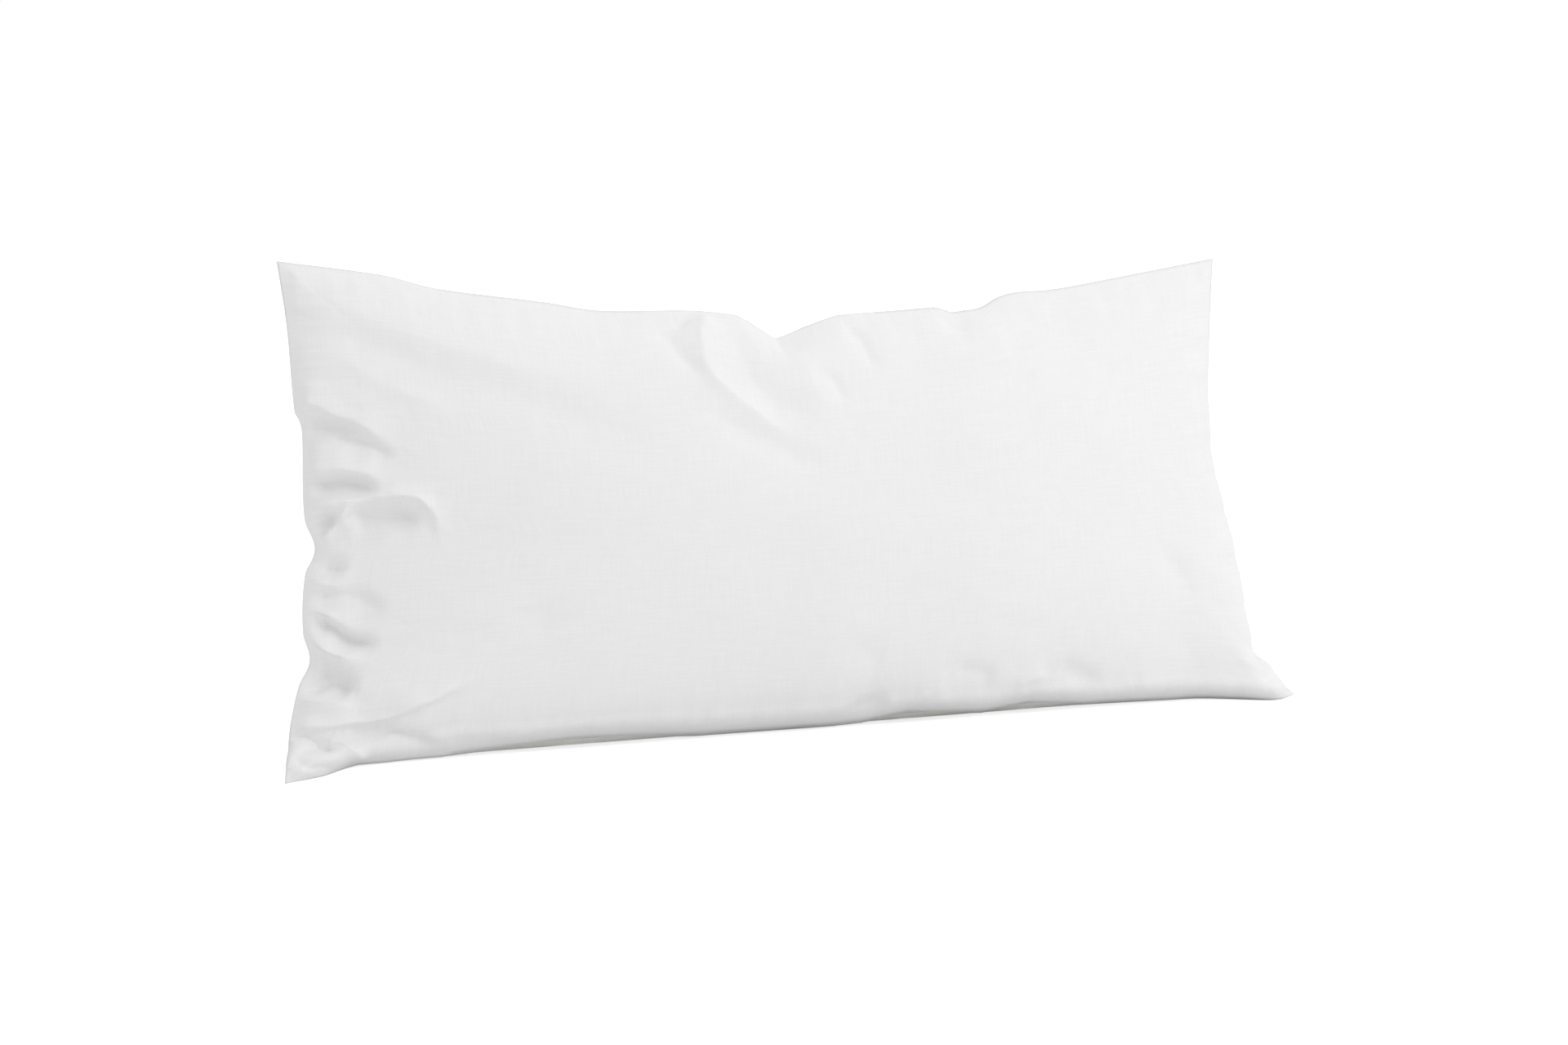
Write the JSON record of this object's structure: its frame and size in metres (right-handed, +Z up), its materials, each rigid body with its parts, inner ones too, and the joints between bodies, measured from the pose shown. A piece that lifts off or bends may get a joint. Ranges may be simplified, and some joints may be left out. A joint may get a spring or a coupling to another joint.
{
  "type": "bed pillow",
  "caption": "Oblong bed pillow standing on its long edge: white cotton case with a zip in one short end, inner pillow in ticking and fibre filling.",
  "frame": {"origin": "middle of the pillow's length, where its seam plane meets the surface it stands on", "axes": "+X runs along the pillow, to the right as seen from its front; the front faces -Y; +Z is up, and the pillow leans back towards +Y"},
  "size_m": [0.78, 0.1784, 0.3636],
  "materials": {
    "case_cotton": "matte",
    "ticking": "matte",
    "fibre": "matte",
    "thread": "satin",
    "label_tape": "satin",
    "zip_tape": "matte",
    "zip_nylon": "satin",
    "zip_metal": "satin"
  },
  "bodies": {
    "pillow": {"case_front_panel": "case_cotton", "case_back_panel": "case_cotton", "case_seam_thread": "thread", "care_label": "label_tape", "zip_tape_front": "zip_tape", "zip_tape_back": "zip_tape", "zip_coil_front": "zip_nylon", "zip_coil_back": "zip_nylon", "zip_top_stops": "zip_nylon", "zip_bottom_stop": "zip_nylon", "zip_stitching": "thread", "ticking_front_panel": "ticking", "ticking_back_panel": "ticking", "ticking_seam_thread": "thread", "ticking_closing_stitches": "thread", "fibre_filling": "fibre"},
    "slider": {"zip_slider": "zip_metal"},
    "pull_tab": {"zip_pull_tab": "zip_metal"}
  },
  "joints": [
    {"name": "zip_slide", "type": "slide", "parent": "pillow", "child": "slider", "axis": [0, 0.2588, 0.9659], "range_m": [-0.282, 0]},
    {"name": "pull_tab_hinge", "type": "hinge", "parent": "slider", "child": "pull_tab", "pos_m": [-0.356, 0.09134, 0.31634], "axis": [1, 0, 0], "range_deg": [-13, 150]}
  ]
}
